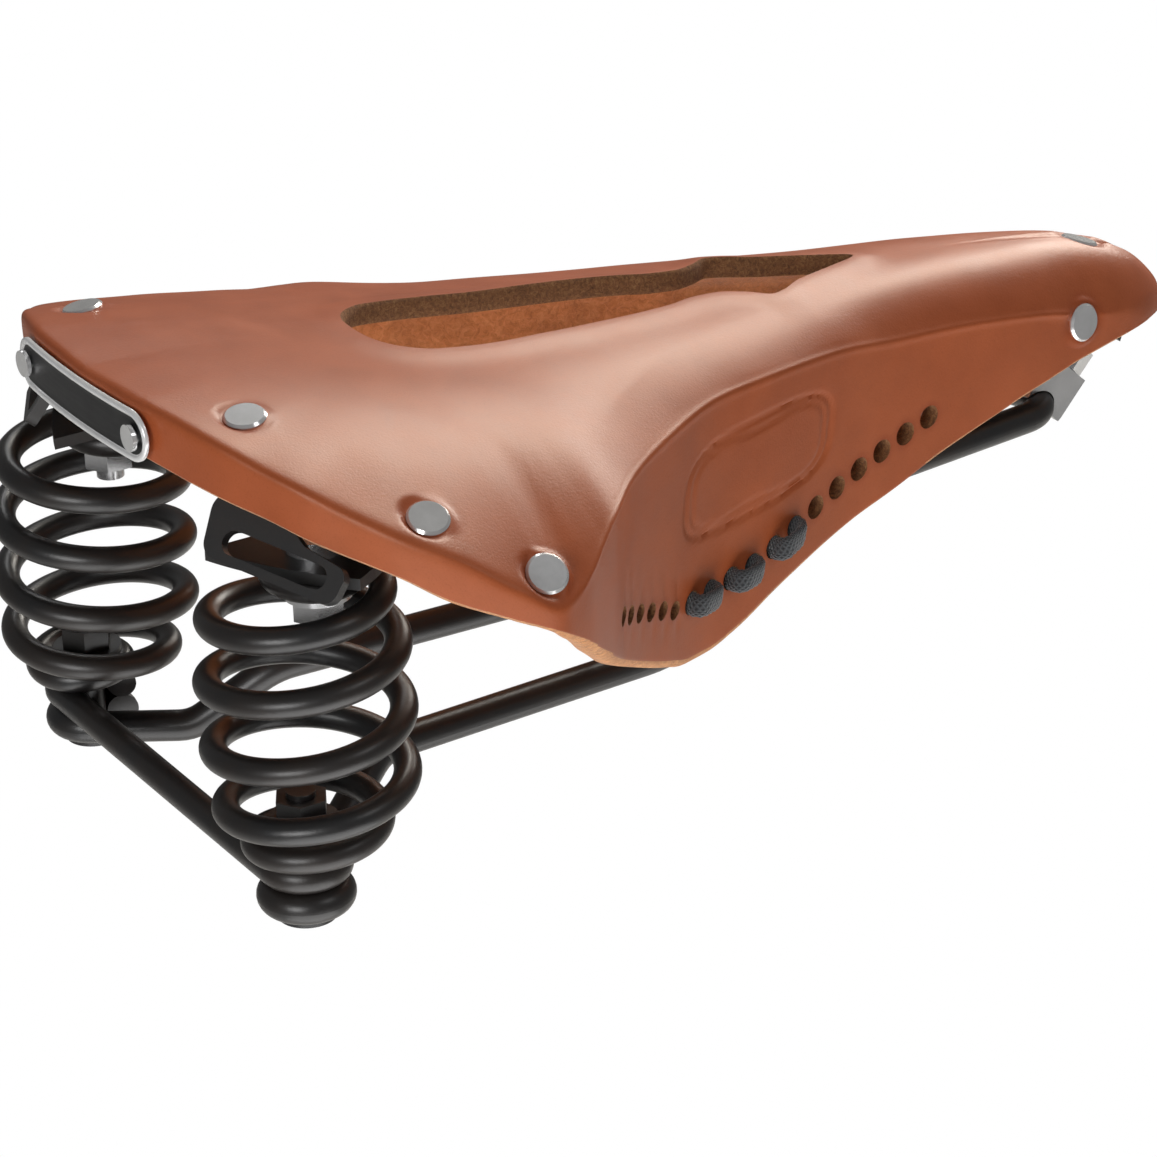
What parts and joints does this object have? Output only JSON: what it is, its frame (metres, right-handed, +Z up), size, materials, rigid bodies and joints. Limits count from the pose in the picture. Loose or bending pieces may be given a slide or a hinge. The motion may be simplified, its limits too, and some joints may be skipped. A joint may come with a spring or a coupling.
{
  "type": "bicycle saddle",
  "caption": "Sprung bicycle saddle: riveted leather top with a lengthwise cut-out and laced skirts on two wire rails, two coil springs, bag loops and a nose tension bolt.",
  "frame": {"origin": "midway between the two rails, at the middle of their straight clamp section, on the wires' centre plane", "axes": "+X to the nose, +Y to the rider's left, +Z up, normal to the clamp section"},
  "size_m": [0.2798, 0.175, 0.1087],
  "materials": {
    "leather": "smooth honey-tan top grain, fibrous cut edges and suede inside",
    "lace": "flat woven dark cord",
    "black_steel": "satin black powder coat",
    "black_wire": "satin black enamel on round wire",
    "badge": "brushed grey plate with a bright plain rim, no lettering",
    "nickel": "bright nickel plating"
  },
  "bodies": {
    "rails": {"rail_wire": "black_wire", "cross_brace": "black_wire", "lower_bolts": "black_steel", "lower_nuts": "black_steel", "lower_washers": "black_steel", "spring_left": "black_wire", "spring_right": "black_wire"},
    "top": {"leather_top": "leather", "cantle_plate": "black_steel", "bag_loop_left": "black_steel", "bag_loop_right": "black_steel", "badge_plate": "badge", "badge_rivets": "nickel", "inner_rivets": "nickel", "middle_rivets": "nickel", "corner_rivets": "nickel", "upper_bolts": "nickel", "upper_nuts": "nickel", "upper_washers": "nickel", "skirt_lace": "lace", "nose_shackle": "nickel"},
    "nose": {"nose_plate": "black_steel", "nose_top_rivet": "nickel", "nose_side_rivets": "nickel", "tension_bolt": "nickel"},
    "nut": {"tension_nut": "nickel"}
  },
  "joints": [
    {"name": "suspension", "type": "hinge", "parent": "rails", "child": "top", "pos_m": [0.1493, 0, 0.026], "axis": [0, 1, 0], "range_deg": [-4, 0], "stiffness_Nm_per_rad": 1500, "deforming": ["spring_left", "spring_right"]},
    {"name": "tension", "type": "slide", "parent": "top", "child": "nose", "axis": [0.6691, 0, 0.7431], "range_m": [0, 0.003]},
    {"name": "nut_turn", "type": "hinge", "parent": "top", "child": "nut", "pos_m": [0.1493, 0, 0.026], "axis": [0.6691, 0, 0.7431], "range_deg": [-1081, 0]}
  ],
  "couplings": [
    {"joint": "nut_turn", "follows": "tension", "rad_per_m": -6283.2}
  ]
}
